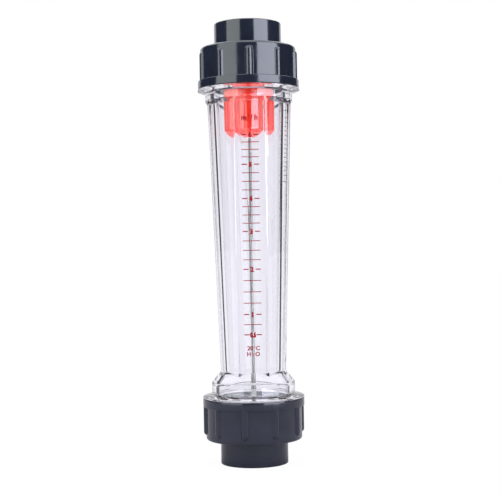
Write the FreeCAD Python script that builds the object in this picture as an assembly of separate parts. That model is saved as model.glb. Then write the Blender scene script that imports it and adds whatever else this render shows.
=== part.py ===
import FreeCAD, Part
import math
import os
from FreeCAD import Vector

os.makedirs("parts", exist_ok=True)

# Variable-area water flow meter, standing on its lower pipe socket.
# Millimetres, +Z up along the flow, origin at the centre of the lower mouth.
# The printed scale faces -Y. The upper union is the lower one turned over.
# The float is drawn against its upper stop.

# Whole meter
total_height = 490.0

# Float, and the rod that it runs on
float_body_d = 48.6
float_flange_d = 56.2
float_height = 55.5
float_flange_height = 9.4
float_cone_height = 4.6
float_dome_height = 8.2
float_edge_round = 0.6
float_side_wall = 3.0
float_floor_height = 10.5
float_cap_rim = 3.1
float_cap_thickness = 5.0
float_bush_wall = 2.9
float_bush_length = 12.0
float_hub_wall = 3.0
float_seat_gap = 0.05
float_guide_clearance = 0.1
ballast_height = 14.0
rod_d = 5.2
rod_shoulder = 0.5
rod_end_chamfer = 0.6
rod_end_spare = 2.0

# Measuring tube, inside
inlet_cone_height = 15.5
taper_start_clearance = 0.1
taper_end_d = 77.2
outlet_step = 0.2
lip_recess_width = 2.0
lip_recess_depth = 2.1
cut_overrun = 1.0

# Measuring tube, outside
facet_width = 34.0
facet_start_wall = 7.8
facet_end_wall = 7.4
lower_shoulder_height = 12.3
lower_neck_wall = 7.4
lower_neck_height = 12.7
lower_flange_slope = 2.9
lower_flange_rim = 1.9
lower_flange_overhang = 0.0
upper_cone_width = 2.8
upper_cone_height = 4.5
upper_neck_height = 8.5
upper_flange_slope = 3.0
upper_flange_rim = 1.5
upper_flange_overhang = 0.5
spigot_chamfer = 1.0

# Pipe sockets, for 63 mm pressure pipe
pipe_bore_d = 63.2
pipe_bore_depth = 38.0
pipe_stop_width = 6.1
socket_wall = 5.9
socket_edge_round = 1.2
mouth_chamfer = 1.0

# Flange of each pipe socket and the groove for its sealing ring
connector_flange_thickness = 9.4
ring_groove_inner_wall = 0.6
ring_groove_width = 4.2
ring_groove_outer_wall = 1.4
ring_groove_depth = 3.0
ring_side_gap = 0.3
ring_top_gap = 0.05
ring_bulge_share = 0.4

# Union nuts
nut_bottom = 26.8
nut_lip_thickness = 8.7
nut_lip_clearance = 0.5
nut_flange_clearance = 0.4
nut_axial_play = 0.1
nut_thread_offset = 1.0
nut_thread_length = 27.2
nut_thread_room = 2.5
nut_wall = 3.8
nut_end_round = 3.0
nut_collar_height = 9.3
nut_collar_round = 0.8
nut_mouth_chamfer = 1.2
rib_count = 10
rib_height = 3.0
rib_half_width = 4.3
rib_end_offset = 5.6
lower_rib_phase = -12.0
upper_rib_phase = 0.0

# Gaps between socket flange, tube end and nut
tube_end_gap = 0.3
spigot_to_flange_gap = 0.2
nut_to_flange_gap = 0.3

# Rod supports: open wheels that drop into the tube's ends
support_gap = 0.2
support_lip_thickness = 2.0
support_rim_wall = 4.0
support_hub_d = 19.0
support_depth = 8.0
support_arm_width = 5.0
support_arm_count = 4
support_arm_phase = 45.0
support_hole_clearance = 0.05
lower_support_height = 27.5
upper_support_height = 20.7

# Stop bushes, footed in the support hubs, that the float comes to rest against
stop_bush_wall = 0.6
stop_foot_width = 3.75
stop_recess_depth = 4.2
stop_recess_gap = 0.05
lower_stop_reach = 12.0
upper_stop_reach = 5.8
stop_play = 0.2
stop_bush_clearance = 0.05
stop_bush_chamfer = 0.3

# Rod washers and hexagon nuts
washer_width = 2.5
washer_thickness = 1.0
rod_nut_wall = 1.5
rod_nut_height = 4.0
rod_nut_sides = 6
thread_clearance = 0.05

# Radii worked out from the float outwards
rod_r = rod_d / 2
rod_thread_r = rod_r - rod_shoulder
stop_bush_in_r = rod_r + stop_bush_clearance
stop_bush_out_r = stop_bush_in_r + stop_bush_wall
stop_foot_r = stop_bush_out_r + stop_foot_width
float_body_r = float_body_d / 2
float_flange_r = float_flange_d / 2
float_bush_r = rod_r + float_guide_clearance + float_bush_wall - float_seat_gap
float_hub_bore_r = float_bush_r + float_seat_gap
float_hub_r = float_hub_bore_r + float_hub_wall
float_cap_r = float_flange_r - float_cap_rim
taper_start_r = float_flange_r + taper_start_clearance
taper_end_r = taper_end_d / 2
seat_r = taper_end_r + outlet_step
lip_recess_r = seat_r + lip_recess_width
facet_start_half = taper_start_r + facet_start_wall
facet_end_half = taper_end_r + facet_end_wall
lower_neck_r = seat_r + lower_neck_wall
upper_neck_r = facet_end_half + upper_cone_width
groove_in_r = lip_recess_r + ring_groove_inner_wall
groove_out_r = groove_in_r + ring_groove_width
connector_flange_r = groove_out_r + ring_groove_outer_wall
spigot_r = connector_flange_r + spigot_to_flange_gap
pipe_bore_r = pipe_bore_d / 2
flow_bore_r = pipe_bore_r - pipe_stop_width
socket_outer_r = pipe_bore_r + socket_wall
nut_lip_hole_r = socket_outer_r + nut_lip_clearance
nut_pocket_r = connector_flange_r + nut_flange_clearance
nut_thread_r = spigot_r + nut_thread_room
nut_body_r = nut_thread_r + nut_wall
nut_crest_r = nut_body_r + rib_height
lower_flange_r = nut_crest_r + lower_flange_overhang
upper_flange_r = nut_crest_r + upper_flange_overhang

# Heights of the lower union and of the tube's lower end, upwards
nut_lip_top = nut_bottom + nut_lip_thickness
connector_flange_bottom = nut_lip_top + nut_axial_play
connector_flange_top = connector_flange_bottom + connector_flange_thickness
nut_thread_start = connector_flange_top + nut_thread_offset
nut_top = nut_thread_start + nut_thread_length
nut_collar_bottom = nut_top - nut_collar_height
tube_bottom = connector_flange_top + tube_end_gap
flange_bottom = nut_top + nut_to_flange_gap
lower_neck_start = flange_bottom + lower_flange_rim + lower_flange_slope
lower_neck_end = lower_neck_start + lower_neck_height
facet_start_z = lower_neck_end + lower_shoulder_height
inlet_cone_z = facet_start_z - inlet_cone_height

# Heights of the tube's upper end, downwards
tube_top = total_height - tube_bottom
flange_top = total_height - flange_bottom
upper_neck_end = flange_top - upper_flange_rim - upper_flange_slope
upper_neck_start = upper_neck_end - upper_neck_height
facet_end_z = upper_neck_start - upper_cone_height

# Heights along the rod
lower_support_face = tube_bottom + lower_support_height
upper_support_face = tube_top - upper_support_height
lower_shoulder = lower_support_face - stop_recess_depth
upper_shoulder = upper_support_face + stop_recess_depth
lower_stop_z = lower_support_face + lower_stop_reach
upper_stop_z = upper_support_face - upper_stop_reach
float_top = upper_stop_z - stop_play
float_bottom = float_top - float_height
float_travel = float_bottom - lower_stop_z - stop_play
rod_thread_reach = support_depth + washer_thickness + rod_nut_height + rod_end_spare

axis_point = Vector(0, 0, 0)
axis_up = Vector(0, 0, 1)
middle_point = Vector(0, 0, total_height / 2)


def lathe(profile):
    """Turns a closed outline about the Z axis.

    A step of two numbers is a straight line to (radius, height). A step of four is an arc
    through the first pair to the second.
    """
    edges = []
    last = profile[0]
    for step in profile[1:] + [profile[0]]:
        end = step[-2:]
        if end == last:
            continue
        here = Vector(last[0], 0, last[1])
        there = Vector(end[0], 0, end[1])
        if len(step) == 4:
            edges.append(Part.Arc(here, Vector(step[0], 0, step[1]), there).toShape())
        else:
            edges.append(Part.makeLine(here, there))
        last = end
    face = Part.Face(Part.Wire(edges))
    return face.revolve(axis_point, axis_up, 360)


def rounded_top(radius, height, size):
    """Outline steps that go up a wall and round over its top outer edge."""
    bulge = size * (1 - math.sqrt(0.5))
    return [(radius, height - size), (radius - bulge, height - bulge, radius - size, height)]


def rounded_bottom(radius, height, size):
    """Outline steps that go out along a floor and round up into its outer wall."""
    bulge = size * (1 - math.sqrt(0.5))
    return [(radius - size, height), (radius - bulge, height + bulge, radius, height + size)]


def pipe(radius_out, radius_in, bottom, top):
    """Plain sleeve between two heights."""
    outline = [(radius_in, bottom), (radius_out, bottom), (radius_out, top), (radius_in, top)]
    return lathe(outline)


def turned_over(shape):
    """The same piece turned end for end, for the upper union."""
    copy = shape.copy()
    copy.rotate(middle_point, Vector(1, 0, 0), 180)
    return copy


def make_end_connector():
    """Pipe socket with the flange that carries the sealing ring in a face groove."""
    groove_floor = connector_flange_top - ring_groove_depth
    outline = [(pipe_bore_r + mouth_chamfer, 0)]
    outline += rounded_bottom(socket_outer_r, 0, socket_edge_round)
    outline += [(socket_outer_r, connector_flange_bottom)]
    outline += rounded_bottom(connector_flange_r, connector_flange_bottom, socket_edge_round)
    outline += rounded_top(connector_flange_r, connector_flange_top, socket_edge_round / 2)
    outline += [
        (groove_out_r, connector_flange_top),
        (groove_out_r, groove_floor),
        (groove_in_r, groove_floor),
        (groove_in_r, connector_flange_top),
        (flow_bore_r, connector_flange_top),
        (flow_bore_r, pipe_bore_depth),
        (pipe_bore_r, pipe_bore_depth),
        (pipe_bore_r, mouth_chamfer),
    ]
    return lathe(outline)


def make_sealing_ring():
    """Rubber ring, flattened by the closed joint between socket flange and tube end."""
    in_r = groove_in_r + ring_side_gap
    out_r = groove_out_r - ring_side_gap
    bottom = connector_flange_top - ring_groove_depth
    top = tube_bottom - ring_top_gap
    middle = (bottom + top) / 2
    bulge = (top - bottom) * ring_bulge_share
    outline = [
        (in_r + bulge, bottom),
        (out_r - bulge, bottom),
        (out_r, middle, out_r - bulge, top),
        (in_r + bulge, top),
        (in_r, middle, in_r + bulge, bottom),
    ]
    return lathe(outline)


def make_rib(angle):
    """Half-round grip rib with a ball end, merging into the nut's collar."""
    centre_r = nut_crest_r - rib_half_width
    ball_z = nut_bottom + rib_end_offset + rib_half_width
    place = Vector(centre_r * math.sin(angle), -centre_r * math.cos(angle), ball_z)
    bar = Part.makeCylinder(rib_half_width, nut_collar_bottom + nut_collar_round - ball_z, place)
    ball = Part.makeSphere(rib_half_width, place)
    return bar.fuse(ball)


def make_union_nut(rib_phase):
    """Ribbed nut whose inner lip pulls the socket's flange up to the tube."""
    outline = [(nut_lip_hole_r, nut_bottom)]
    outline += rounded_bottom(nut_body_r, nut_bottom, nut_end_round)
    outline += [(nut_body_r, nut_collar_bottom)]
    outline += rounded_bottom(nut_crest_r, nut_collar_bottom, nut_collar_round)
    outline += rounded_top(nut_crest_r, nut_top, nut_collar_round)
    outline += [
        (nut_thread_r + nut_mouth_chamfer, nut_top),
        (nut_thread_r, nut_top - nut_mouth_chamfer),
        (nut_thread_r, nut_thread_start),
        (nut_pocket_r, nut_thread_start),
        (nut_pocket_r, nut_lip_top),
        (nut_lip_hole_r, nut_lip_top),
    ]
    inside = Part.makeCylinder(nut_thread_r + nut_wall / 2, total_height)
    ribs = []
    for index in range(rib_count):
        rib = make_rib(math.radians(rib_phase + 360 * index / rib_count))
        ribs.append(rib.cut(inside))
    return lathe(outline).fuse(ribs).removeSplitter()


def facet_section(height):
    """Eight-sided section with four facets of constant width and four that widen upwards."""
    share = (height - facet_start_z) / (facet_end_z - facet_start_z)
    half = facet_start_half + share * (facet_end_half - facet_start_half)
    side = facet_width / 2
    quarter = [(side, -half), (half, -side), (half, side), (side, half)]
    corners = quarter + [(-x, -y) for x, y in quarter]
    points = [Vector(x, y, height) for x, y in corners]
    return Part.makePolygon(points + [points[0]])


def make_faceted_column():
    """Tapered eight-sided column, trimmed round where it meets the upper neck."""
    bottom = (lower_neck_start + lower_neck_end) / 2
    top = (upper_neck_start + upper_neck_end) / 2
    column = Part.makeLoft([facet_section(bottom), facet_section(top)], True, True)
    envelope = Part.makeCylinder(upper_neck_r, total_height)
    return column.common(envelope)


def make_lower_end():
    """Spigot, flange, neck and sloping shoulder below the faceted column."""
    slope = (lower_neck_r - facet_start_half) / lower_shoulder_height
    shoulder_top = lower_neck_end + (lower_neck_r - taper_start_r) / slope
    outline = [
        (0, tube_bottom),
        (spigot_r - spigot_chamfer, tube_bottom),
        (spigot_r, tube_bottom + spigot_chamfer),
        (spigot_r, flange_bottom),
        (lower_flange_r, flange_bottom),
        (lower_flange_r, flange_bottom + lower_flange_rim),
        (lower_neck_r, lower_neck_start),
        (lower_neck_r, lower_neck_end),
        (taper_start_r, shoulder_top),
        (0, shoulder_top),
    ]
    return lathe(outline)


def make_upper_end():
    """Small cone, neck, flange and spigot above the faceted column."""
    outline = [
        (0, facet_end_z),
        (facet_end_half, facet_end_z),
        (upper_neck_r, upper_neck_start),
        (upper_neck_r, upper_neck_end),
        (upper_flange_r, flange_top - upper_flange_rim),
        (upper_flange_r, flange_top),
        (spigot_r, flange_top),
        (spigot_r, tube_top - spigot_chamfer),
        (spigot_r - spigot_chamfer, tube_top),
        (0, tube_top),
    ]
    return lathe(outline)


def make_tube_bore():
    """Inside of the tube: support seats at both ends, inlet cone and long taper."""
    outline = [
        (0, tube_bottom - cut_overrun),
        (lip_recess_r, tube_bottom - cut_overrun),
        (lip_recess_r, tube_bottom + lip_recess_depth),
        (seat_r, tube_bottom + lip_recess_depth),
        (seat_r, inlet_cone_z),
        (taper_start_r, facet_start_z),
        (taper_end_r, facet_end_z),
        (seat_r, facet_end_z),
        (seat_r, tube_top - lip_recess_depth),
        (lip_recess_r, tube_top - lip_recess_depth),
        (lip_recess_r, tube_top + cut_overrun),
        (0, tube_top + cut_overrun),
    ]
    return lathe(outline)


def make_measuring_tube():
    """Clear moulded tube: faceted outside, round tapered inside."""
    outside = make_faceted_column().fuse([make_lower_end(), make_upper_end()])
    return outside.cut(make_tube_bore()).removeSplitter()


def make_rod_support(face_z):
    """Open wheel in a lipped skirt that centres the rod, drawn as a lower one."""
    rim_r = seat_r - support_gap
    inner_r = rim_r - support_rim_wall
    lip_r = lip_recess_r - support_gap
    wheel_bottom = face_z - support_depth
    skirt = pipe(rim_r, inner_r, tube_bottom, face_z)
    lip = pipe(lip_r, inner_r, tube_bottom, tube_bottom + support_lip_thickness)
    hub = Part.makeCylinder(support_hub_d / 2, support_depth, Vector(0, 0, wheel_bottom))
    arms = []
    for index in range(support_arm_count):
        start = Vector(0, -support_arm_width / 2, wheel_bottom)
        arm = Part.makeBox(inner_r + support_rim_wall / 2, support_arm_width, support_depth, start)
        arm.rotate(axis_point, axis_up, support_arm_phase + 360 * index / support_arm_count)
        arms.append(arm)
    hole = Part.makeCylinder(rod_thread_r + support_hole_clearance, total_height)
    recess_r = stop_foot_r + stop_recess_gap
    recess = Part.makeCylinder(recess_r, total_height, Vector(0, 0, face_z - stop_recess_depth))
    return skirt.fuse([lip, hub] + arms).cut([hole, recess]).removeSplitter()


def make_guide_rod():
    """Polished rod, shouldered in both supports, with threaded ends."""
    bottom = lower_support_face - rod_thread_reach
    top = upper_support_face + rod_thread_reach
    outline = [
        (0, bottom),
        (rod_thread_r - rod_end_chamfer, bottom),
        (rod_thread_r, bottom + rod_end_chamfer),
        (rod_thread_r, lower_shoulder),
        (rod_r, lower_shoulder),
        (rod_r, upper_shoulder),
        (rod_thread_r, upper_shoulder),
        (rod_thread_r, top - rod_end_chamfer),
        (rod_thread_r - rod_end_chamfer, top),
        (0, top),
    ]
    return lathe(outline)


def make_stop_bush(face_z, top):
    """Sleeve on the rod with a wide foot let into a support's hub, drawn as a lower one."""
    bottom = face_z - stop_recess_depth
    outline = [
        (stop_bush_in_r, bottom),
        (stop_foot_r - stop_bush_chamfer, bottom),
        (stop_foot_r, bottom + stop_bush_chamfer),
        (stop_foot_r, face_z - stop_bush_chamfer),
        (stop_foot_r - stop_bush_chamfer, face_z),
        (stop_bush_out_r, face_z),
        (stop_bush_out_r, top - stop_bush_chamfer),
        (stop_bush_out_r - stop_bush_chamfer, top),
        (stop_bush_in_r, top),
    ]
    return lathe(outline)


def make_rod_washer(face_z):
    """Flat washer below the hub of a lower support."""
    top = face_z - support_depth
    return pipe(rod_thread_r + washer_width, rod_thread_r + thread_clearance, top - washer_thickness, top)


def make_rod_nut(face_z):
    """Hexagon nut below the washer, with its outer corners turned off."""
    bottom = face_z - support_depth - washer_thickness - rod_nut_height
    flat_r = rod_thread_r + rod_nut_wall
    corner_r = flat_r / math.cos(math.pi / rod_nut_sides)
    corners = []
    for index in range(rod_nut_sides + 1):
        angle = 2 * math.pi * index / rod_nut_sides
        corners.append(Vector(corner_r * math.cos(angle), corner_r * math.sin(angle), bottom))
    prism = Part.Face(Part.makePolygon(corners)).extrude(Vector(0, 0, rod_nut_height))
    cone = Part.makeCone(flat_r, flat_r + 2 * rod_nut_height, rod_nut_height, Vector(0, 0, bottom))
    hole = Part.makeCylinder(rod_thread_r + thread_clearance, total_height)
    return prism.common(cone).cut(hole)


def dome_height_at(radius):
    """Height of the float's domed underside at a radius."""
    ball_r = (float_body_r ** 2 + float_dome_height ** 2) / (2 * float_dome_height)
    return float_bottom + ball_r - math.sqrt(ball_r ** 2 - radius ** 2)


def make_float_shell():
    """Red float body: domed underside, reading flange, hub and ballast chamber."""
    cap_recess_r = float_cap_r + float_seat_gap
    chamber_r = float_body_r - float_side_wall
    dome_middle_r = (float_hub_bore_r + float_body_r) / 2
    cap_seat = float_top - float_cap_thickness
    chamber_floor = float_bottom + float_floor_height
    flange_z = float_top - float_flange_height
    outline = [
        (float_hub_bore_r, dome_height_at(float_hub_bore_r)),
        (dome_middle_r, dome_height_at(dome_middle_r), float_body_r, dome_height_at(float_body_r)),
        (float_body_r, flange_z - float_cone_height),
        (float_flange_r, flange_z),
    ]
    outline += rounded_top(float_flange_r, float_top, float_edge_round)
    outline += [
        (cap_recess_r, float_top),
        (cap_recess_r, cap_seat),
        (chamber_r, cap_seat),
        (chamber_r, chamber_floor),
        (float_hub_r, chamber_floor),
        (float_hub_r, cap_seat),
        (float_hub_bore_r, cap_seat),
    ]
    return lathe(outline)


def make_float_cap():
    """Disc that closes the float's ballast chamber."""
    return pipe(float_cap_r, float_hub_bore_r, float_top - float_cap_thickness, float_top)


def make_float_ballast():
    """Steel ring on the floor of the ballast chamber."""
    bottom = float_bottom + float_floor_height
    outer_r = float_body_r - float_side_wall - float_seat_gap
    return pipe(outer_r, float_hub_r + float_seat_gap, bottom, bottom + ballast_height)


def make_float_bush(bottom):
    """Plastic sleeve in the float's hub that runs on the rod."""
    return pipe(float_bush_r, rod_r + float_guide_clearance, bottom, bottom + float_bush_length)


def union_pieces():
    """Both unions: the lower one as drawn and the upper one turned over."""
    connector = make_end_connector()
    ring = make_sealing_ring()
    return {
        "lower_end_connector": connector,
        "lower_o_ring": ring,
        "lower_union_nut": make_union_nut(lower_rib_phase),
        "upper_end_connector": turned_over(connector),
        "upper_o_ring": turned_over(ring),
        "upper_union_nut": turned_over(make_union_nut(upper_rib_phase)),
    }


def rod_pieces():
    """Guide rod with what carries it at both ends."""
    turned_face = total_height - upper_support_face
    return {
        "guide_rod": make_guide_rod(),
        "lower_rod_support": make_rod_support(lower_support_face),
        "upper_rod_support": turned_over(make_rod_support(turned_face)),
        "lower_stop_bush": make_stop_bush(lower_support_face, lower_stop_z),
        "upper_stop_bush": turned_over(make_stop_bush(turned_face, turned_face + upper_stop_reach)),
        "lower_rod_washer": make_rod_washer(lower_support_face),
        "upper_rod_washer": turned_over(make_rod_washer(turned_face)),
        "lower_rod_nut": make_rod_nut(lower_support_face),
        "upper_rod_nut": turned_over(make_rod_nut(turned_face)),
    }


def float_pieces():
    """Float, shown against its upper stop."""
    return {
        "float_shell": make_float_shell(),
        "float_cap": make_float_cap(),
        "float_ballast": make_float_ballast(),
        "float_lower_bush": make_float_bush(float_bottom),
        "float_upper_bush": make_float_bush(float_top - float_bush_length),
    }


pieces = {"measuring_tube": make_measuring_tube()}
pieces.update(union_pieces())
pieces.update(rod_pieces())
pieces.update(float_pieces())
for name, shape in pieces.items():
    box = shape.BoundBox
    shape.exportStep("parts/" + name + ".step")
    print(f"{name}: solids {len(shape.Solids)} valid {shape.isValid()} volume {shape.Volume:.0f}", end=" ")
    print(f"z {box.ZMin:.2f} to {box.ZMax:.2f}")
print(f"float travel {float_travel:.2f}, thread engagement {nut_thread_length:.1f}")
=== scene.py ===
import math

import bmesh
import bpy
from mathutils import Matrix, Vector


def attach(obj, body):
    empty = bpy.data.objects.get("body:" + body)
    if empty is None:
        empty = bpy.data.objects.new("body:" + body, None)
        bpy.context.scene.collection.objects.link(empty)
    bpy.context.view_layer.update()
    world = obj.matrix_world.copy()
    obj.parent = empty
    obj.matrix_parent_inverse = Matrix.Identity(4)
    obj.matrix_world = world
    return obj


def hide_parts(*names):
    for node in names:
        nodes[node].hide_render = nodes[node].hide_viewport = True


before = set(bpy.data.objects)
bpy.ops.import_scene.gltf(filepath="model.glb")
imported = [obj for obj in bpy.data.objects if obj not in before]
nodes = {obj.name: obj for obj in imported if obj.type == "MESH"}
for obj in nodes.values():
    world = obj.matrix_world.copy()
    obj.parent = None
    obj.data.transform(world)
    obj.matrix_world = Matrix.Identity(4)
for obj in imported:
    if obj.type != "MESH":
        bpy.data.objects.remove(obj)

mm = 0.001
meterHeight = 490.0
scene = bpy.context.scene
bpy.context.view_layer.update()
print("frame loaded:", len(nodes), "nodes")

# how finely the meshes are made, with the reach of each merge in mm
meshSet = {
    "roundSteps": 5, "latheSteps": 180, "latheMerge": 0.0004, "nutMerge": 0.001, "combinedMerge": 0.002,
}


def addNode(tree, kind, place, **settings):
    node = tree.nodes.new(kind)
    node.location = place
    for name, value in settings.items():
        socket = name.replace("_", " ")
        if socket in node.inputs:
            node.inputs[socket].default_value = value
        else:
            setattr(node, name, value)
    return node


def join(tree, source, output, target, socket):
    tree.links.new(source.outputs[output], target.inputs[socket])


def newMaterial(name, **sockets):
    material = bpy.data.materials.new(name)
    material.use_nodes = True
    shader = material.node_tree.nodes["Principled BSDF"]
    for socket, value in sockets.items():
        shader.inputs[socket.replace("_", " ")].default_value = value
    return material, material.node_tree, shader


def newPiece(name, bm, material, body, smoothAngle):
    mesh = bpy.data.meshes.new(name)
    bm.to_mesh(mesh)
    bm.free()
    mesh.materials.append(material)
    mesh.shade_smooth()
    mesh.set_sharp_from_angle(angle=math.radians(smoothAngle))
    piece = bpy.data.objects.new(name, mesh)
    scene.collection.objects.link(piece)
    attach(piece, body)
    return piece


def looseObject(name, bm):
    mesh = bpy.data.meshes.new(name)
    bm.to_mesh(mesh)
    bm.free()
    piece = bpy.data.objects.new(name, mesh)
    scene.collection.objects.link(piece)
    return piece


def meshOf(piece):
    bm = bmesh.new()
    bm.from_mesh(piece.data)
    bpy.data.objects.remove(piece)
    reach = meshSet["combinedMerge"] * mm
    bmesh.ops.remove_doubles(bm, verts=bm.verts, dist=reach)
    bmesh.ops.dissolve_degenerate(bm, edges=bm.edges, dist=reach)
    return inOrder(bm)


def cornerNumbers(part):
    return sorted(vert.index for vert in part.verts)


def inOrder(bm):
    # the same numbering each run, which spin and bevel don't keep
    for parts, key in ((bm.verts, lambda vert: [round(place / mm, 4) for place in vert.co]),
                       (bm.edges, cornerNumbers), (bm.faces, cornerNumbers)):
        for index, part in enumerate(sorted(parts, key=key)):
            part.index = index
        parts.sort()
    return bm


def section(outline):
    # outline steps are (radius, height) or (radius, height, rounding), in mm, right round the section
    bm = bmesh.new()
    points = [bm.verts.new((step[0] * mm, 0, step[1] * mm)) for step in outline]
    for pair in zip(points, points[1:] + points[:1]):
        bm.edges.new(pair)
    for size in sorted({step[2] for step in outline if len(step) == 3}):
        corners = [point for point, step in zip(points, outline) if len(step) == 3 and step[2] == size]
        bmesh.ops.bevel(bm, geom=corners, offset=size * mm, offset_type="OFFSET",
                        segments=meshSet["roundSteps"], profile=0.5, affect="VERTICES", material=-1)
    return bm


def spinRound(bm, geom, angle, steps, rise=0, closed=False):
    # rise is how far each step climbs the axis, in mm
    made = bmesh.ops.spin(bm, geom=geom, cent=(0, 0, 0), axis=(0, 0, 1), dvec=(0, 0, rise * mm),
                          angle=angle, steps=steps, use_merge=closed, use_duplicate=False)
    return made["geom_last"]


def lathe(outline, steps=meshSet["latheSteps"]):
    bm = section(outline)
    spinRound(bm, bm.verts[:] + bm.edges[:], 2 * math.pi, steps, closed=True)
    bmesh.ops.remove_doubles(bm, verts=bm.verts, dist=meshSet["latheMerge"] * mm)
    bmesh.ops.recalc_face_normals(bm, faces=bm.faces)
    return inOrder(bm)


def turnedOver(bm):
    # end for end, as the upper union is
    middle = Vector((0, 0, meterHeight / 2 * mm))
    bmesh.ops.rotate(bm, verts=bm.verts, cent=middle, matrix=Matrix.Rotation(math.pi, 3, "X"))
    return bm


def combine(target, tool, operation):
    # the tool is used up
    modifier = target.modifiers.new("combine", "BOOLEAN")
    modifier.operation = operation
    modifier.solver = "EXACT"
    modifier.object = tool
    graph = bpy.context.evaluated_depsgraph_get()
    mesh = bpy.data.meshes.new_from_object(target.evaluated_get(graph))
    target.modifiers.clear()
    target.data = mesh
    bpy.data.objects.remove(tool)


# camera, at eye level beside the middle of the meter

cameraSet = {
    "lens": 84.3, "sensor": 36, "near": 0.05, "far": 50,
    "distance": 1.31, "eyeHeight": 0.231, "azimuth": -1.3, "lean": 1.0,
    "axisPixel": 251.2, "eyePixel": 255.8, "imageSize": 500,
}


def makeCamera(c):
    data = bpy.data.cameras.new("camera")
    data.lens = c["lens"]
    data.sensor_width = c["sensor"]
    data.clip_start = c["near"]
    data.clip_end = c["far"]
    turn = math.radians(c["azimuth"])
    back = Vector((math.sin(turn), -math.cos(turn), 0))
    side = Vector((math.cos(turn), math.sin(turn), 0))
    pixels = c["lens"] / c["sensor"] * c["imageSize"]
    yaw = (c["axisPixel"] - c["imageSize"] / 2) / pixels
    pitch = (c["eyePixel"] - c["imageSize"] / 2) / pixels
    forward = (-back - side * yaw + Vector((0, 0, 1)) * pitch).normalized()
    right = forward.cross(Vector((0, 0, 1))).normalized()
    up = right.cross(forward)
    lean = math.radians(c["lean"])
    right, up = right * math.cos(lean) - up * math.sin(lean), up * math.cos(lean) + right * math.sin(lean)
    turned = Matrix((right, up, -forward)).transposed().to_4x4()
    eye = back * c["distance"] + Vector((0, 0, c["eyeHeight"]))
    camera = bpy.data.objects.new("camera", data)
    camera.matrix_world = Matrix.Translation(eye) @ turned
    scene.collection.objects.link(camera)
    scene.camera = camera


makeCamera(cameraSet)
print("camera set")


# materials, each with clouds of colour, uneven gloss and a fine skin
# clouds, wear and skin are the (scale, detail) of a noise, bump is (strength, depth in metres)

tintReach = (0.35, 0.65)  # the noise values between which a tint goes from dark to light
wearReach = (0.3, 0.7)  # and the roughness from low to high

pvcSet = {
    "dark": (0.017, 0.022, 0.040), "light": (0.023, 0.029, 0.052), "rough": (0.1, 0.17),
    "clouds": (35, 4), "wear": (90, 5), "skin": (700, 3), "bump": (0.25, 0.00004), "IOR": 1.53,
}
redSet = {
    "dark": (0.70, 0.016, 0.003), "light": (0.80, 0.024, 0.006), "rough": (0.08, 0.14),
    "clouds": (60, 3), "wear": (150, 4), "skin": (500, 2), "bump": (0.2, 0.00003),
    "IOR": 1.8, "Specular_IOR_Level": 1.0,
}
clearSet = {  # with faint flow lines along the tube
    "dark": (0.955, 0.95, 0.98), "light": (0.968, 0.963, 0.988), "rough": (0.0, 0.01),
    "clouds": (12, 3), "wear": (30, 3), "skin": (25, 2), "bump": (0.1, 0.00003), "stretch": (1, 1, 0.12),
    "IOR": 1.56, "Transmission_Weight": 1.0,
}
steelSet = {  # fine drawing or turning lines, stretched along or round the piece
    "clouds": (1, 5), "wear": (1.3, 4), "skin": (2, 3), "bump": (0.2, 0.00002), "Metallic": 1.0,
}
rodSteelSet = {
    "dark": (0.3, 0.3, 0.29), "light": (0.42, 0.42, 0.4), "rough": (0.22, 0.34), "stretch": (900, 900, 6),
}
fastenerSet = {
    "dark": (0.4, 0.4, 0.4), "light": (0.58, 0.58, 0.58), "rough": (0.25, 0.4), "stretch": (300, 300, 300),
}
ballastSet = {
    "dark": (0.3, 0.3, 0.32), "light": (0.45, 0.45, 0.47), "rough": (0.3, 0.45), "stretch": (30, 30, 1200),
}
paleSet = {
    "dark": (0.46, 0.46, 0.52), "light": (0.55, 0.55, 0.62), "rough": (0.35, 0.5),
    "clouds": (60, 4), "wear": (180, 3), "skin": (900, 3), "bump": (0.3, 0.00004),
    "IOR": 1.5, "Specular_IOR_Level": 0.5,
}
bushSet = {
    "dark": (0.78, 0.78, 0.75), "light": (0.88, 0.88, 0.86), "rough": (0.3, 0.45),
    "clouds": (80, 4), "wear": (240, 3), "skin": (1200, 3), "bump": (0.3, 0.00003),
    "IOR": 1.5, "Specular_IOR_Level": 0.5,
}
sealSet = {
    "dark": (0.014, 0.014, 0.014), "light": (0.03, 0.03, 0.03), "rough": (0.5, 0.7),
    "clouds": (120, 4), "wear": (360, 3), "skin": (1800, 3), "bump": (0.3, 0.00006),
    "IOR": 1.5, "Specular_IOR_Level": 0.5,
}
inkSet = {"clouds": (400, 4), "wear": (1200, 3), "skin": (6000, 3), "bump": (0.3, 0.00001), "IOR": 1.5}
redInkSet = {
    "dark": (0.38, 0.004, 0.012), "light": (0.46, 0.008, 0.018), "rough": (0.6, 0.75),
    "Specular_IOR_Level": 0.1,
}
darkInkSet = {
    "dark": (0.06, 0.06, 0.065), "light": (0.1, 0.1, 0.11), "rough": (0.4, 0.55), "Specular_IOR_Level": 0.2,
}


def tinted(tree, shader, noise, dark, light):
    ramp = addNode(tree, "ShaderNodeValToRGB", (-450, 250))
    for element, position, colour in zip(ramp.color_ramp.elements, tintReach, (dark, light)):
        element.position = position
        element.color = (*colour, 1)
    join(tree, noise, "Fac", ramp, "Fac")
    join(tree, ramp, "Color", shader, "Base Color")


def worn(tree, shader, noise, low, high):
    reach = addNode(tree, "ShaderNodeMapRange", (-450, 0), From_Min=wearReach[0], From_Max=wearReach[1],
                    To_Min=low, To_Max=high)
    join(tree, noise, "Fac", reach, "Value")
    join(tree, reach, "Result", shader, "Roughness")


def bumped(tree, shader, noise, strength, depth):
    bump = addNode(tree, "ShaderNodeBump", (-250, -350), Strength=strength, Distance=depth)
    join(tree, noise, "Fac", bump, "Height")
    join(tree, bump, "Normal", shader, "Normal")


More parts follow.
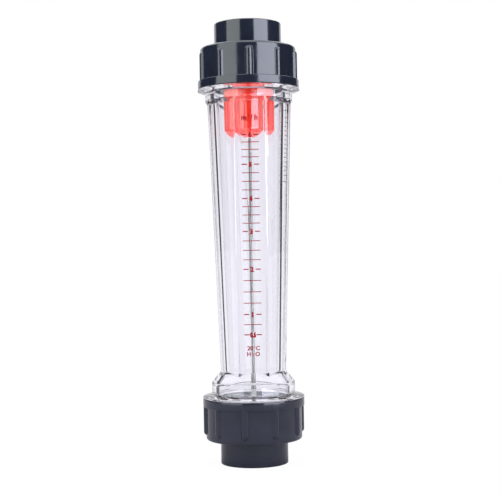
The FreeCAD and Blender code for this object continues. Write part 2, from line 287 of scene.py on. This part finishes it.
def makeFinish(name, dark, light, rough, clouds, wear, skin, bump, stretch=(1, 1, 1), **sockets):
    material, tree, shader = newMaterial(name, **sockets)
    coordinates = addNode(tree, "ShaderNodeTexCoord", (-1150, 0))
    mapping = addNode(tree, "ShaderNodeMapping", (-950, 0), Scale=stretch)
    join(tree, coordinates, "Object", mapping, "Vector")
    cloudNoise, wearNoise, skinNoise = (
        addNode(tree, "ShaderNodeTexNoise", (-700, height), Scale=scale, Detail=detail)
        for height, (scale, detail) in ((250, clouds), (0, wear), (-350, skin)))
    for noise in (cloudNoise, wearNoise, skinNoise):
        join(tree, mapping, "Vector", noise, "Vector")
    tinted(tree, shader, cloudNoise, dark, light)
    worn(tree, shader, wearNoise, *rough)
    bumped(tree, shader, skinNoise, *bump)
    return material


greyPvc = makeFinish("moulded grey PVC", **pvcSet)
redPlastic = makeFinish("moulded red plastic", **redSet)
clearPlastic = makeFinish("clear moulded plastic", **clearSet)
rodSteel = makeFinish("drawn rod steel", **steelSet, **rodSteelSet)
fastenerSteel = makeFinish("fastener steel", **steelSet, **fastenerSet)
ballastSteel = makeFinish("turned steel", **steelSet, **ballastSet)
palePlastic = makeFinish("pale moulded plastic", **paleSet)
bushPlastic = makeFinish("white bearing plastic", **bushSet)
sealRubber = makeFinish("seal rubber", **sealSet)
printInk = makeFinish("red print", **inkSet, **redInkSet)
labelInk = makeFinish("dark print", **inkSet, **darkInkSet)
print("materials made")


# threads of the unions, right-handed, the nut's ridges midway between the tube's

threadSet = {
    "pitch": 6.0, "stepsPerTurn": 60, "foot": 4.4, "tip": 1.5, "sunk": 0.5,
    "tubeRoot": 47.2, "tubeTip": 49.1, "tubeStart": 49.0, "tubeTurns": 3.3,
    "nutRoot": 49.7, "nutTip": 47.9, "nutStart": 52.0, "nutTurns": 2.8,
}


def makeRidge(c, root, tip, start, turns):
    # one ridge wound up the axis, its foot sunk into the wall that carries it
    sunk = root + math.copysign(c["sunk"], root - tip)
    bm = bmesh.new()
    corners = [(sunk, -c["foot"] / 2), (tip, -c["tip"] / 2), (tip, c["tip"] / 2), (sunk, c["foot"] / 2)]
    face = bm.faces.new([bm.verts.new((r * mm, 0, (start + z) * mm)) for r, z in corners])
    spinRound(bm, [face] + bm.verts[:] + bm.edges[:], 2 * math.pi * turns, round(turns * c["stepsPerTurn"]),
              rise=c["pitch"] / c["stepsPerTurn"])
    bmesh.ops.recalc_face_normals(bm, faces=bm.faces)
    return inOrder(bm)


# clear measuring tube

tubeSet = {
    "bottom": 45.3, "top": 444.7, "spigot": 47.2, "spigotChamfer": 1.0,
    "flange": 73.5, "flangeRim": 1.9, "lowerFlange": 56.5, "edgeRound": 0.4, "rimRound": 0.7,
    "neckStart": 78.3, "neckEnd": 91.0, "lowerNeck": 46.2, "neckStartRound": 0.9, "neckEndRound": 0.3,
    "shoulderTop": 112.7, "shoulderCore": 28.2,
    "facetWidth": 34.0, "facetStart": 103.3, "facetEnd": 399.0, "startHalf": 36.0, "endHalf": 46.0,
    "facetRound": 0.9, "columnBottom": 84.65, "columnTop": 407.75,
    "upperNeckStart": 403.5, "upperNeckEnd": 412.0, "upperNeck": 48.8,
    "upperStartRound": 0.8, "upperEndRound": 0.5,
    "upperFlange": 57.0, "upperRim": 415.0, "upperRimRound": 0.6, "upperFlangeTop": 416.5,
    "lipRecess": 40.8, "lipDepth": 2.1, "seat": 38.8, "overcut": 1,
    "coneStart": 87.8, "coneRound": 2.0, "taperStart": 28.2, "taperEnd": 38.6, "taperStep": 0.4,
    "smoothAngle": 24,
}


def facetHalf(c, height):
    share = (height - c["facetStart"]) / (c["facetEnd"] - c["facetStart"])
    return c["startHalf"] + share * (c["endHalf"] - c["startHalf"])


def facetedColumn(c):
    bm = bmesh.new()
    side = c["facetWidth"] / 2
    half = facetHalf(c, c["columnBottom"])
    grow = facetHalf(c, c["columnTop"]) - half
    quarter = [(side, -half), (half, -side), (half, side), (side, half)]
    ring = [bm.verts.new((x * mm, y * mm, c["columnBottom"] * mm))
            for x, y in quarter + [(-x, -y) for x, y in quarter]]
    made = bmesh.ops.extrude_face_region(bm, geom=[bm.faces.new(ring)])["geom"]
    for vert in (item for item in made if isinstance(item, bmesh.types.BMVert)):
        outer = 0 if abs(vert.co.x) > abs(vert.co.y) else 1
        vert.co[outer] += math.copysign(grow * mm, vert.co[outer])
        vert.co.z = c["columnTop"] * mm
    bmesh.ops.recalc_face_normals(bm, faces=bm.faces)
    middle = (c["columnBottom"] + c["columnTop"]) / 2 * mm
    upright = [edge for edge in bm.edges if len({vert.co.z > middle for vert in edge.verts}) == 2]
    bmesh.ops.bevel(bm, geom=upright, offset=c["facetRound"] * mm, offset_type="OFFSET",
                    segments=meshSet["roundSteps"], profile=0.5, affect="EDGES", material=-1,
                    clamp_overlap=True)
    return inOrder(bm)


def makeTube(c, t):
    column = looseObject("column", facetedColumn(c))
    envelope = lathe([(0, 0), (c["upperNeck"], 0), (c["upperNeck"], meterHeight), (0, meterHeight)])
    combine(column, looseObject("envelope", envelope), "INTERSECT")
    lower = lathe([
        (0, c["bottom"]), (c["spigot"], c["bottom"], c["spigotChamfer"]),
        (c["spigot"], c["flange"], c["edgeRound"]), (c["lowerFlange"], c["flange"], c["edgeRound"]),
        (c["lowerFlange"], c["flange"] + c["flangeRim"], c["rimRound"]),
        (c["lowerNeck"], c["neckStart"], c["neckStartRound"]),
        (c["lowerNeck"], c["neckEnd"], c["neckEndRound"]),
        (c["shoulderCore"], c["shoulderTop"]), (0, c["shoulderTop"])])
    combine(column, looseObject("lower end", lower), "UNION")
    upper = lathe([
        (0, c["facetEnd"]), (c["endHalf"], c["facetEnd"]),
        (c["upperNeck"], c["upperNeckStart"], c["upperStartRound"]),
        (c["upperNeck"], c["upperNeckEnd"], c["upperEndRound"]),
        (c["upperFlange"], c["upperRim"], c["upperRimRound"]),
        (c["upperFlange"], c["upperFlangeTop"], c["edgeRound"]),
        (c["spigot"], c["upperFlangeTop"], c["edgeRound"]),
        (c["spigot"], c["top"], c["spigotChamfer"]), (0, c["top"])])
    combine(column, looseObject("upper end", upper), "UNION")
    for turned in (False, True):
        ridge = makeRidge(t, t["tubeRoot"], t["tubeTip"], t["tubeStart"], t["tubeTurns"])
        combine(column, looseObject("thread", turnedOver(ridge) if turned else ridge), "UNION")
    seatBottom = c["bottom"] + c["lipDepth"]
    seatTop = c["top"] - c["lipDepth"]
    bore = lathe([
        (0, c["bottom"] - c["overcut"]), (c["lipRecess"], c["bottom"] - c["overcut"]),
        (c["lipRecess"], seatBottom), (c["seat"], seatBottom), (c["seat"], c["coneStart"], c["coneRound"]),
        (c["taperStart"], c["facetStart"], c["coneRound"]), (c["taperEnd"], c["facetEnd"]),
        (c["seat"], c["facetEnd"] + c["taperStep"]), (c["seat"], seatTop), (c["lipRecess"], seatTop),
        (c["lipRecess"], c["top"] + c["overcut"]), (0, c["top"] + c["overcut"])])
    combine(column, looseObject("bore", bore), "DIFFERENCE")
    tube = newPiece("clearTube", meshOf(column), clearPlastic, "meter_tube",
                    c["smoothAngle"])
    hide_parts("measuring_tube")
    return tube


tube = makeTube(tubeSet, threadSet)
print("tube made:", len(tube.data.polygons), "faces")


# ribbed union nuts

nutSet = {
    "bottom": 26.8, "top": 73.2, "lipHole": 38.0, "lipTop": 35.5, "pocket": 47.4, "pocketTop": 46.0,
    "thread": 49.7, "body": 53.5, "crest": 56.5, "collarBottom": 63.9, "mouthChamfer": 1.2,
    "endRound": 3.0, "edgeRound": 0.8, "lipRound": 0.6, "innerRound": 0.5,
    "ribs": 10, "ribHalf": 4.3, "ribEnd": 32.4, "ribBlend": 1.3, "wallReach": 0.5,
    "ribRows": 12, "rowsBelow": 0.3, "rowsPast": 0.6,  # rows of the wall where the ribs' ends are raised
    "ribReach": 5.8, "ribSteps": 30, "gapSteps": 12,
    "lowerFirstRib": -12, "upperFirstRib": 0, "smoothAngle": 32,
}


def nutSection(c):
    step = (c["ribHalf"] + c["rowsPast"]) / c["ribRows"]
    rows = [(c["body"], c["ribEnd"] - c["rowsBelow"] + step * row) for row in range(c["ribRows"] + 1)]
    return section([
        (c["lipHole"], c["bottom"], c["lipRound"]), (c["body"], c["bottom"], c["endRound"])] + rows + [
        (c["body"], c["collarBottom"], c["innerRound"]), (c["crest"], c["collarBottom"], c["edgeRound"]),
        (c["crest"], c["top"], c["edgeRound"]), (c["thread"] + c["mouthChamfer"], c["top"]),
        (c["thread"], c["top"] - c["mouthChamfer"]), (c["thread"], c["pocketTop"]),
        (c["pocket"], c["pocketTop"]), (c["pocket"], c["lipTop"], c["innerRound"]),
        (c["lipHole"], c["lipTop"], c["innerRound"])])


def raiseRibs(bm, c, start):
    # lifts half-round, ball-ended ribs out of the wall, with a small fillet along their feet
    centre = c["crest"] - c["ribHalf"]
    pitch = 2 * math.pi / c["ribs"]
    for vert in bm.verts:
        radius = vert.co.xy.length / mm
        height = vert.co.z / mm
        if radius < c["body"] - c["wallReach"] or height > c["collarBottom"] + c["edgeRound"]:
            continue
        turn = math.atan2(vert.co.y, vert.co.x) - start
        turn -= pitch * round(turn / pitch)
        below = max(0, c["ribEnd"] + c["ribHalf"] - height)
        inside = c["ribHalf"] ** 2 - (centre * math.sin(turn)) ** 2 - below ** 2
        if inside > 0:
            rib = centre * math.cos(turn) + math.sqrt(inside)
            near = max(c["ribBlend"] - abs(radius - rib), 0) / c["ribBlend"]
            raised = min(max(radius, rib) + near ** 2 * c["ribBlend"] / 4, c["crest"])
            vert.co.xy *= raised / radius


def makeNut(c, t, name, node, body, firstRib, turned):
    bm = nutSection(c)
    start = math.radians(firstRib - 90)
    reach = math.radians(c["ribReach"])
    bmesh.ops.rotate(bm, verts=bm.verts, cent=(0, 0, 0), matrix=Matrix.Rotation(start - reach, 3, "Z"))
    edge = bm.verts[:] + bm.edges[:]
    spans = [(2 * reach, c["ribSteps"]), (2 * math.pi / c["ribs"] - 2 * reach, c["gapSteps"])]
    for angle, steps in spans * c["ribs"]:
        edge = spinRound(bm, edge, angle, steps)
    bmesh.ops.remove_doubles(bm, verts=bm.verts, dist=meshSet["nutMerge"] * mm)
    raiseRibs(bm, c, start)
    bmesh.ops.recalc_face_normals(bm, faces=bm.faces)
    shell = looseObject("nut shell", inOrder(bm))
    ridge = makeRidge(t, t["nutRoot"], t["nutTip"], t["nutStart"], t["nutTurns"])
    combine(shell, looseObject("thread", ridge), "UNION")
    bm = meshOf(shell)
    nut = newPiece(name, turnedOver(bm) if turned else bm, greyPvc, body, c["smoothAngle"])
    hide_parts(node)
    return nut


lowerNut = makeNut(nutSet, threadSet, "lowerNut", "lower_union_nut", "lower_nut",
                   nutSet["lowerFirstRib"], False)
makeNut(nutSet, threadSet, "upperNut", "upper_union_nut", "upper_nut", nutSet["upperFirstRib"], True)
print("nuts made:", len(lowerNut.data.polygons), "faces each")


# pipe sockets with their flanges

socketSet = {
    "bore": 31.6, "boreDepth": 38.0, "outer": 37.5, "flowBore": 25.5, "mouthChamfer": 1.0,
    "flange": 47.0, "flangeBottom": 35.6, "flangeTop": 45.0,
    "grooveIn": 41.4, "grooveOut": 45.6, "grooveDepth": 3.0,
    "edgeRound": 1.2, "mouthRound": 0.4, "neckRound": 0.5, "grooveEdge": 0.2, "grooveRound": 0.4,
    "boreRound": 0.6, "boreMouthRound": 0.3, "smoothAngle": 32,
}


def makeSocket(c, name, node, body, turned):
    floor = c["flangeTop"] - c["grooveDepth"]
    bm = lathe([
        (c["bore"] + c["mouthChamfer"], 0, c["mouthRound"]), (c["outer"], 0, c["edgeRound"]),
        (c["outer"], c["flangeBottom"], c["neckRound"]), (c["flange"], c["flangeBottom"], c["edgeRound"]),
        (c["flange"], c["flangeTop"], c["edgeRound"] / 2), (c["grooveOut"], c["flangeTop"], c["grooveEdge"]),
        (c["grooveOut"], floor, c["grooveRound"]), (c["grooveIn"], floor, c["grooveRound"]),
        (c["grooveIn"], c["flangeTop"], c["grooveEdge"]), (c["flowBore"], c["flangeTop"], c["boreRound"]),
        (c["flowBore"], c["boreDepth"], c["boreRound"]), (c["bore"], c["boreDepth"], c["boreRound"]),
        (c["bore"], c["mouthChamfer"], c["boreMouthRound"])])
    socket = newPiece(name, turnedOver(bm) if turned else bm, greyPvc, body, c["smoothAngle"])
    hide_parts(node)


makeSocket(socketSet, "lowerSocket", "lower_end_connector", "lower_connector", False)
makeSocket(socketSet, "upperSocket", "upper_end_connector", "upper_connector", True)
print("sockets made")


# red float, its cap left to the solid

floatSet = {
    "bottom": 362.5, "top": 418.0, "body": 24.3, "flange": 28.1, "flangeHeight": 9.4, "coneHeight": 4.6,
    "domeHeight": 8.2, "domeSteps": 10, "hubBore": 5.6, "hub": 8.6, "chamber": 21.3, "chamberFloor": 10.5,
    "capRadius": 25.05, "capDepth": 5.0, "rimRound": 0.7, "edgeRound": 0.4, "capRound": 0.2,
    "chamberRound": 0.8, "smoothAngle": 24,
}


def makeFloat(c):
    ball = (c["body"] ** 2 + c["domeHeight"] ** 2) / (2 * c["domeHeight"])
    spread = (c["body"] - c["hubBore"]) / c["domeSteps"]
    radii = [c["hubBore"] + spread * step for step in range(c["domeSteps"] + 1)]
    dome = [(radius, c["bottom"] + ball - math.sqrt(ball ** 2 - radius ** 2)) for radius in radii]
    dome[-1] += (c["rimRound"],)
    flangeBottom = c["top"] - c["flangeHeight"]
    capSeat = c["top"] - c["capDepth"]
    floor = c["bottom"] + c["chamberFloor"]
    bm = lathe(dome + [
        (c["body"], flangeBottom - c["coneHeight"], c["edgeRound"]),
        (c["flange"], flangeBottom, c["edgeRound"]), (c["flange"], c["top"], c["rimRound"]),
        (c["capRadius"], c["top"], c["capRound"]), (c["capRadius"], capSeat), (c["chamber"], capSeat),
        (c["chamber"], floor, c["chamberRound"]), (c["hub"], floor, c["chamberRound"]),
        (c["hub"], capSeat), (c["hubBore"], capSeat)])
    shell = newPiece("floatShell", bm, redPlastic, "float", c["smoothAngle"])
    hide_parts("float_shell")


makeFloat(floatSet)
print("float made")


# guide rod, turned down at both ends for its nuts

rodSet = {
    "bottom": 57.8, "lowerShoulder": 68.6, "upperShoulder": 428.2, "top": 439.0, "radius": 2.6, "end": 2.1,
    "endRound": 0.3, "shoulderRound": 0.2, "steps": 64, "smoothAngle": 30,
}


def makeRod(c):
    bm = lathe([
        (0, c["bottom"]), (c["end"], c["bottom"], c["endRound"]), (c["end"], c["lowerShoulder"]),
        (c["radius"], c["lowerShoulder"], c["shoulderRound"]),
        (c["radius"], c["upperShoulder"], c["shoulderRound"]), (c["end"], c["upperShoulder"]),
        (c["end"], c["top"], c["endRound"]), (0, c["top"])], c["steps"])
    rod = newPiece("guideRod", bm, rodSteel, "meter_tube", c["smoothAngle"])
    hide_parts("guide_rod")


makeRod(rodSet)
print("rod made")


# printed scale on the front facet, and a bare frame of bars on the right one

printSet = {
    "marks": {"0.6": 145.2, "1": 167.3, "2": 216.4, "3": 257.5, "4": 293.1, "5": 330.1, "6": 362.2},
    "ticks": 3, "ticksAfter": {"0.6": 1},  # short ticks between two numbers
    "left": 0.35, "tickWidth": 19.0, "tickHeight": 0.8, "dashWidth": 5.6, "dashHeight": 1.15,
    "numberHeight": 5.3, "numberBoldness": 0.065, "squeeze": 0.95, "longSqueeze": 0.72,
    # (height on the tube, word, its own height, x, y, boldness)
    "words": [
        (378.0, "m", 5.8, -6.2, 0, 0.04), (378.0, "3", 2.9, -1.2, 3.48, 0.04),
        (378.0, "/", 5.8, 2.2, 0, 0.03), (378.0, "h", 5.8, 7.0, 0, 0.04),
        (128.4, "20", 4.6, -3.4, 0, 0.03), (128.4, "o", 2.3, 1.5, 2.76, 0.02),
        (128.4, "C", 4.6, 5.0, 0, 0.03), (122.0, "H", 4.6, -4.9, 0, 0.03),
        (122.0, "2", 3.22, -0.4, -0.3, 0.03), (122.0, "O", 4.6, 4.6, 0, 0.03),
    ],
    "curveSteps": 4, "wordDepth": 0.005, "lift": 0.06, "thick": 0.05,
    "capital": 0.73,  # share of the font's size that its figures stand high
    "smoothAngle": 30,
}

labelSet = {
    "bottom": 313.0, "top": 392.0, "width": 24.0, "line": 0.5, "lift": -0.03, "thick": 0.12,
    "rows": 14, "rowWidth": 15.0, "rowShares": (1, 0.7, 0.85), "rowHeight": 0.5,
    "rowBottom": 320.0, "rowTop": 384.0, "turn": 90, "smoothAngle": 30,
}


def facetPlace(c, height, lift, turn=0):
    # a flat place on a main facet, x to the right and y up along the tube
    rise = Vector((0, -(c["endHalf"] - c["startHalf"]), c["facetEnd"] - c["facetStart"])).normalized()
    across = Vector((1, 0, 0))
    out = across.cross(rise)
    place = Matrix((across, rise, out)).transposed().to_4x4()
    place.translation = (Vector((0, -facetHalf(c, height), height)) + out * lift) * mm
    return Matrix.Rotation(math.radians(turn), 4, "Z") @ place


def addBar(bm, place, centre, width, height, thick):
    size = Matrix.Diagonal((width * mm, height * mm, thick * mm, 1))
    bmesh.ops.create_cube(bm, size=1, matrix=place @ Matrix.Translation(Vector(centre) * mm) @ size)


def addWord(bm, c, place, word, height, centre, boldness, squeeze=1.0):
    curve = bpy.data.curves.new("word", "FONT")
    curve.body = word
    curve.size = 1
    curve.offset = boldness
    curve.align_x = "CENTER"
    curve.resolution_u = c["curveSteps"]
    curve.extrude = c["wordDepth"]
    text = bpy.data.objects.new("word", curve)
    scene.collection.objects.link(text)
    bpy.context.view_layer.update()
    mesh = bpy.data.meshes.new_from_object(text)
    bpy.data.objects.remove(text)
    scale = height / c["capital"] * mm
    size = Matrix.Diagonal((scale * squeeze, scale, scale, 1))
    mesh.transform(place @ Matrix.Translation(Vector(centre) * mm) @ size)
    bm.from_mesh(mesh)


def addMark(bm, c, place, name):
    reach = (c["tickWidth"] - c["dashWidth"]) / 2
    for side in (-1, 1):
        addBar(bm, place, (side * reach, 0, 0), c["dashWidth"], c["dashHeight"], c["thick"])
    squeeze = c["longSqueeze"] if len(name) > 1 else c["squeeze"]
    foot = (0, -c["numberHeight"] / 2, 0)
    addWord(bm, c, place, name, c["numberHeight"], foot, c["numberBoldness"], squeeze)


def makePrint(c, tubeShape):
    bm = bmesh.new()
    marks = list(c["marks"].items())
    for (name, height), following in zip(marks, marks[1:] + [None]):
        addMark(bm, c, facetPlace(tubeShape, height, c["lift"]), name)
        count = c["ticksAfter"].get(name, c["ticks"]) if following else 0
        for index in range(count):
            step = height + (following[1] - height) * (index + 1) / (count + 1)
            place = facetPlace(tubeShape, step, c["lift"])
            addBar(bm, place, (0, 0, 0), c["tickWidth"], c["tickHeight"], c["thick"])
    for height, word, size, x, y, boldness in c["words"]:
        addWord(bm, c, facetPlace(tubeShape, height, c["lift"]), word, size, (x, y, 0), boldness)
    bmesh.ops.translate(bm, verts=bm.verts, vec=(-c["left"] * mm, 0, 0))
    newPiece("scalePrint", bm, printInk, "meter_tube", c["smoothAngle"])


def makeLabel(c, tubeShape):
    bm = bmesh.new()
    middle = (c["bottom"] + c["top"]) / 2
    place = facetPlace(tubeShape, middle, c["lift"], c["turn"])
    tall = c["top"] - c["bottom"]
    for side in (-1, 1):
        addBar(bm, place, (side * c["width"] / 2, 0, 0), c["line"], tall + c["line"], c["thick"])
        addBar(bm, place, (0, side * tall / 2, 0), c["width"] - c["line"], c["line"], c["thick"])
    for row in range(c["rows"]):
        height = c["rowBottom"] + (c["rowTop"] - c["rowBottom"]) * row / (c["rows"] - 1)
        width = c["rowWidth"] * c["rowShares"][row % len(c["rowShares"])]
        place = facetPlace(tubeShape, height, c["lift"], c["turn"])
        addBar(bm, place, ((width - c["rowWidth"]) / 2, 0, 0), width, c["rowHeight"], c["thick"])
    newPiece("sideFrame", bm, labelInk, "meter_tube", c["smoothAngle"])


makePrint(printSet, tubeSet)
makeLabel(labelSet, tubeSet)
print("print made")


# finishes of the carried-over pieces

finishes = {
    "lower_rod_washer": fastenerSteel, "upper_rod_washer": fastenerSteel,
    "lower_rod_nut": fastenerSteel, "upper_rod_nut": fastenerSteel,
    "float_cap": redPlastic, "float_ballast": ballastSteel,
    "lower_rod_support": palePlastic, "upper_rod_support": palePlastic,
    "lower_stop_bush": bushPlastic, "upper_stop_bush": bushPlastic,
    "float_lower_bush": bushPlastic, "float_upper_bush": bushPlastic,
    "lower_o_ring": sealRubber, "upper_o_ring": sealRubber,
}
for nodeName, finish in finishes.items():
    nodes[nodeName].data.materials[0] = finish
print("finishes set")


# studio: pale floor, and a surround with a lamp at the front left, one at the front right and one overhead

studioSet = {
    # (angle from the front, brightness, tint if any), from the back over the left, front and right
    "scattered": [(-180, 0.9), (-142, 0.7), (-84, 1.25), (-24, 0.7), (24, 1.25), (84, 0.7), (142, 0.9)],
    "mirrored": [(-180, 1.0), (-142, 0.03), (-79, 3.6, (0.93, 1.0, 0.955)), (-29, 0.03),
                 (20, 8.0, (0.85, 0.88, 1.0)), (73, 0.03), (142, 1.0)],
    "lampsInside": [(-180, 0.95), (-142, 0.03), (-79, 1.8, (0.93, 1.0, 0.955)), (-29, 0.03),
                    (20, 3.8, (0.88, 0.9, 1.0)), (73, 0.03), (142, 0.95)],
    "mirroredInside": [(-180, 0.95), (-145, 0.06), (-124, 0.95), (-100, 1.0), (-14, 0.05), (9, 1.0),
                       (109, 0.06), (131, 0.95)],
    "seenThrough": [(-180, 0.92), (-120, 0.8), (72, 0.15), (128, 0.92)],
    # the two heights are those of a direction, from 0 level to 1 straight up
    "overhead": (2.8, 2.87, 3.0), "overheadFrom": 0.55,
    "insideGlow": (3.9, 4.0, 4.1), "glowBelow": 0.35,
    "highest": 8.0, "lavender": (1.0, 0.99, 1.04),
    # depths of a ray: more than none, into the tube and out again, and mirrored once on that way
    "anyDepth": 0.5, "throughDepth": 3.5, "onceDepth": 6.5,
    "floorSize": 8, "floorSteps": 96, "floorColour": (0.66, 0.66, 0.67, 1), "floorRough": 0.85,
    "floorGlow": 0.94, "floorStrength": 1.03,
}


def calculate(tree, place, operation, first, second=None, value=None):
    step = addNode(tree, "ShaderNodeMath", place, operation=operation)
    tree.links.new(first, step.inputs[0])
    if second is not None:
        tree.links.new(second, step.inputs[1])
    if value is not None:
        step.inputs[1].default_value = value
    return step


def choose(tree, place, chooser, output, first, second):
    # first where the chooser is 0, second where it is 1
    mix = addNode(tree, "ShaderNodeMix", place, data_type="RGBA")
    colours = [socket for socket in mix.inputs if socket.type == "RGBA"]
    result = next(socket for socket in mix.outputs if socket.type == "RGBA")
    tree.links.new(chooser.outputs[output], mix.inputs["Factor"])
    tree.links.new(first, colours[0])
    tree.links.new(second, colours[1])
    return result


def bands(tree, place, share, stops, c):
    # a brightness for each angle round the meter
    ramp = addNode(tree, "ShaderNodeValToRGB", place)
    ramp.color_ramp.interpolation = "CONSTANT"
    elements = ramp.color_ramp.elements
    while len(elements) < len(stops):
        elements.new(0.99)  # near the end, until it gets its place below
    for element, (angle, level, *tint) in zip(elements, stops):
        element.position = (angle + 180) / 360
        element.color = (*(level / c["highest"] * part for part in (tint or [c["lavender"]])[0]), 1)
    join(tree, share, "Value", ramp, "Fac")
    return ramp


def makeFloor(c):
    bm = bmesh.new()
    bmesh.ops.create_circle(bm, cap_ends=True, segments=c["floorSteps"], radius=c["floorSize"])
    floor = looseObject("floor", bm)
    material, tree, shader = newMaterial("pale floor", Roughness=c["floorRough"], Base_Color=c["floorColour"])
    glow = addNode(tree, "ShaderNodeEmission", (0, -200), Strength=c["floorStrength"])
    mix = addNode(tree, "ShaderNodeMixShader", (250, 0))
    rays = addNode(tree, "ShaderNodeLightPath", (-500, 300))
    share = calculate(tree, (0, 300), "MULTIPLY", rays.outputs["Is Camera Ray"], value=c["floorGlow"])
    join(tree, share, "Value", mix, "Fac")
    join(tree, shader, "BSDF", mix, 1)
    join(tree, glow, "Emission", mix, 2)
    join(tree, mix, "Shader", tree.nodes["Material Output"], "Surface")
    floor.data.materials.append(material)
    floor.visible_transmission = False


def makeWorld(c):
    world = bpy.data.worlds.new("studio")
    world.use_nodes = True
    tree = world.node_tree
    direction = addNode(tree, "ShaderNodeTexCoord", (-1800, 0))
    parts = addNode(tree, "ShaderNodeSeparateXYZ", (-1600, 0))
    join(tree, direction, "Generated", parts, "Vector")
    back = calculate(tree, (-1400, -100), "MULTIPLY", parts.outputs["Y"], value=-1)
    angle = calculate(tree, (-1250, 0), "ARCTAN2", parts.outputs["X"], back.outputs[0])
    turns = calculate(tree, (-1100, 0), "DIVIDE", angle.outputs[0], value=2 * math.pi)
    share = calculate(tree, (-950, 0), "ADD", turns.outputs[0], value=0.5)
    diffuse, mirrored, inside, seen, lamps = (
        bands(tree, (-700, 300 - 250 * row), share, c[name], c)
        for row, name in enumerate(("scattered", "mirrored", "mirroredInside", "seenThrough", "lampsInside")))
    high = calculate(tree, (-700, -800), "GREATER_THAN", parts.outputs["Z"], value=c["overheadFrom"])
    lid, glow = (addNode(tree, "ShaderNodeRGB", (-700, place)) for place in (-1000, -1200))
    for lamp, name in ((lid, "overhead"), (glow, "insideGlow")):
        lamp.outputs[0].default_value = (*(part / c["highest"] for part in c[name]), 1)
    mirroredAll = choose(tree, (-350, -700), high, "Value", mirrored.outputs["Color"], lid.outputs[0])
    rays = addNode(tree, "ShaderNodeLightPath", (-1100, 700))
    depth = {name: rays.outputs[name + " Depth"] for name in ("Glossy", "Transmission", "Ray", "Diffuse")}
    reflected = calculate(tree, (-700, 600), "GREATER_THAN", depth["Glossy"], value=c["anyDepth"])
    deep = calculate(tree, (-700, 450), "GREATER_THAN", depth["Transmission"], value=c["throughDepth"])
    # rays that the float or the rod mirrors through the tube, towards the lamps
    front = calculate(tree, (-700, 300), "LESS_THAN", parts.outputs["Y"], value=0)
    once = calculate(tree, (-700, 150), "LESS_THAN", depth["Ray"], value=c["onceDepth"])
    single = calculate(tree, (-600, 300), "MULTIPLY", once.outputs[0], front.outputs[0])
    lit = calculate(tree, (-500, 450), "MULTIPLY", deep.outputs[0], single.outputs[0])
    within = choose(tree, (-500, -300), lit, "Value", inside.outputs["Color"], lamps.outputs["Color"])
    inTube = choose(tree, (-350, -300), reflected, "Value", seen.outputs["Color"], within)
    unscattered = calculate(tree, (-700, 800), "LESS_THAN", depth["Diffuse"], value=c["anyDepth"])
    through = calculate(tree, (-500, 800), "MULTIPLY", rays.outputs["Is Transmission Ray"],
                        unscattered.outputs[0])
    # a ray that leaves the clear tube is both a glossy and a transmission ray
    outside = calculate(tree, (-500, 1000), "SUBTRACT", rays.outputs["Is Glossy Ray"],
                        rays.outputs["Is Transmission Ray"])
    # light scattered by what stands in the tube, apart from what comes from steeply above
    scattered = calculate(tree, (-500, 1200), "MULTIPLY", deep.outputs[0], depth["Diffuse"])
    low = calculate(tree, (-700, 1200), "LESS_THAN", parts.outputs["Z"], value=c["glowBelow"])
    glowing = calculate(tree, (-350, 1200), "MULTIPLY", scattered.outputs[0], low.outputs[0])
    glowing.use_clamp = True
    level = choose(tree, (-250, 200), glowing, "Value", diffuse.outputs["Color"], glow.outputs[0])
    level = choose(tree, (-150, 0), through, "Value", level, inTube)
    level = choose(tree, (50, 0), outside, "Value", level, mirroredAll)
    scaled = addNode(tree, "ShaderNodeVectorMath", (250, 0), operation="SCALE")
    scaled.inputs["Scale"].default_value = c["highest"]
    tree.links.new(level, scaled.inputs[0])
    white = addNode(tree, "ShaderNodeRGB", (250, 200))
    white.outputs[0].default_value = (1, 1, 1, 1)
    shown = choose(tree, (450, 0), rays, "Is Camera Ray", scaled.outputs["Vector"], white.outputs[0])
    tree.links.new(shown, tree.nodes["Background"].inputs["Color"])
    scene.world = world


makeFloor(studioSet)
makeWorld(studioSet)
scene.view_settings.view_transform = "Standard"
scene.cycles.max_bounces = 32
scene.cycles.transmission_bounces = 32
scene.cycles.glossy_bounces = 12
scene.cycles.diffuse_bounces = 4
scene.cycles.sample_clamp_indirect = 2.5
print("studio set")
